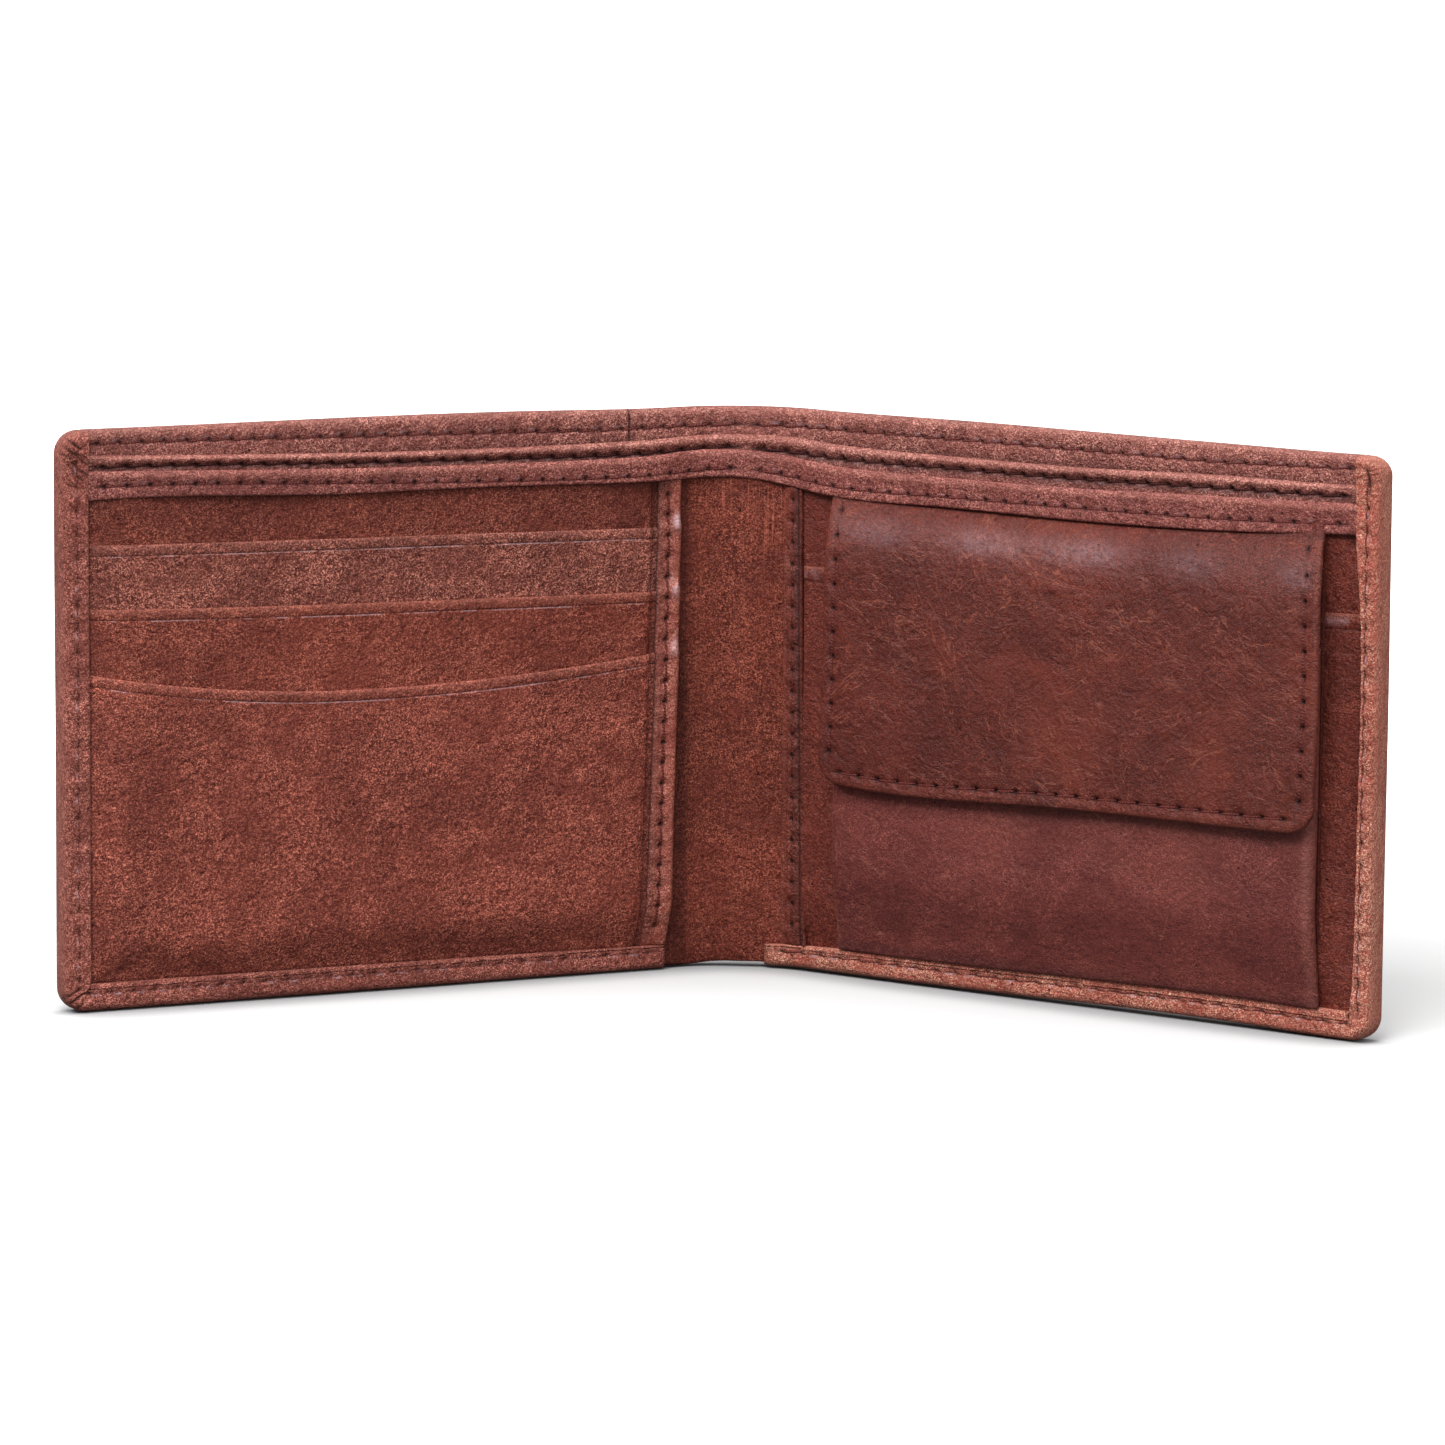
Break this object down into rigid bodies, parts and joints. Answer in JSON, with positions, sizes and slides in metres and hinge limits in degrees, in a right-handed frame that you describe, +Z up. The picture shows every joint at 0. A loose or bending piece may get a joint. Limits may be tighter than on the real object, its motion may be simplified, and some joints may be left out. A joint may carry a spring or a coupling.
{
  "type": "bifold wallet",
  "caption": "Bifold wallet on its bottom edge with a note compartment, card slots on one half and a gusseted coin pocket under a snap flap on the other.",
  "frame": {"origin": "centre of the bounding box in X and Y, on the plane the wallet stands on", "axes": "+Z up along the wallet's height, +X along its open length, +Y from the open side towards the spine, so the inside faces -Y"},
  "size_m": [0.2062, 0.0612, 0.09],
  "materials": {
    "cover_leather": "fine matt full-grain leather, brown red, fold-over edges a little lighter",
    "panel_leather": "semi-matt leather, brown red, fine mottled grain",
    "base_leather": "semi-matt leather, dark brown red",
    "spine_leather": "soft thin leather with fine upright creases",
    "flap_leather": "semi-gloss leather, soft, lightly wrinkled",
    "pocket_fabric": "plain-weave lining, dark brown",
    "thread": "twisted polyester thread, dark brown red",
    "snap_steel": "plated steel snap"
  },
  "bodies": {
    "spine": {"cover_lining_spine": "pocket_fabric", "cover_spine": "cover_leather", "divider_edging_spine": "panel_leather", "divider_spine": "pocket_fabric", "front_band_spine": "panel_leather", "spine_lining": "spine_leather", "thread_band_spine": "thread", "thread_edging_spine": "thread", "thread_hem_spine": "thread", "top_facing_spine": "cover_leather"},
    "left_half": {"card_base_panel": "base_leather", "card_edge_strip": "panel_leather", "card_slot_bottom": "panel_leather", "card_slot_middle": "panel_leather", "card_slot_middle_lining": "pocket_fabric", "card_slot_top": "panel_leather", "card_slot_top_lining": "pocket_fabric", "cover_left": "cover_leather", "cover_lining_left": "pocket_fabric", "divider_edging_left": "panel_leather", "divider_left": "pocket_fabric", "front_band_left": "panel_leather", "inner_lining_left": "pocket_fabric", "thread_band_left": "thread", "thread_border_left": "thread", "thread_card_strip": "thread", "thread_edging_left": "thread", "thread_hem_left": "thread", "top_facing_left": "cover_leather", "top_facing_left_end": "cover_leather"},
    "right_half": {"coin_flap_tab": "flap_leather", "coin_pocket_back": "base_leather", "coin_pocket_gusset": "base_leather", "cover_lining_right": "pocket_fabric", "cover_right": "cover_leather", "divider_edging_right": "panel_leather", "divider_right": "pocket_fabric", "fold_strip": "panel_leather", "front_band_right": "panel_leather", "inner_lining_right": "pocket_fabric", "right_base_panel": "base_leather", "slip_pocket": "base_leather", "thread_band_right": "thread", "thread_border_right": "thread", "thread_edging_right": "thread", "thread_fold_strip": "thread", "thread_hem_right": "thread", "top_facing_right": "cover_leather"},
    "coin_front": {"coin_pocket_front": "flap_leather", "snap_stud": "snap_steel"},
    "coin_flap": {"coin_flap_leather": "flap_leather", "coin_flap_lining": "pocket_fabric", "snap_socket": "snap_steel", "thread_flap": "thread"}
  },
  "joints": [
    {"name": "fold_right", "type": "hinge", "parent": "spine", "child": "right_half", "pos_m": [0.0065, 0.02659, 0.045], "axis": [0, 0, -1], "range_deg": [-30, 60]},
    {"name": "fold_left", "type": "hinge", "parent": "spine", "child": "left_half", "pos_m": [-0.0065, 0.02659, 0.045], "axis": [0, 0, 1], "range_deg": [-30, 60]},
    {"name": "coin_flap_hinge", "type": "hinge", "parent": "right_half", "child": "coin_flap", "pos_m": [0.05343, -0.00512, 0.0765], "axis": [-0.866, 0.5, 0], "range_deg": [0, 175]},
    {"name": "coin_mouth_tilt", "type": "hinge", "parent": "right_half", "child": "coin_front", "pos_m": [0.05363, -0.00478, 0.0063], "axis": [0.866, -0.5, 0], "range_deg": [0, 5]}
  ],
  "couplings": [
    {"joint": "fold_left", "follows": "fold_right", "ratio": 1},
    {"joint": "coin_mouth_tilt", "follows": "coin_flap_hinge", "ratio": 0.02857}
  ]
}
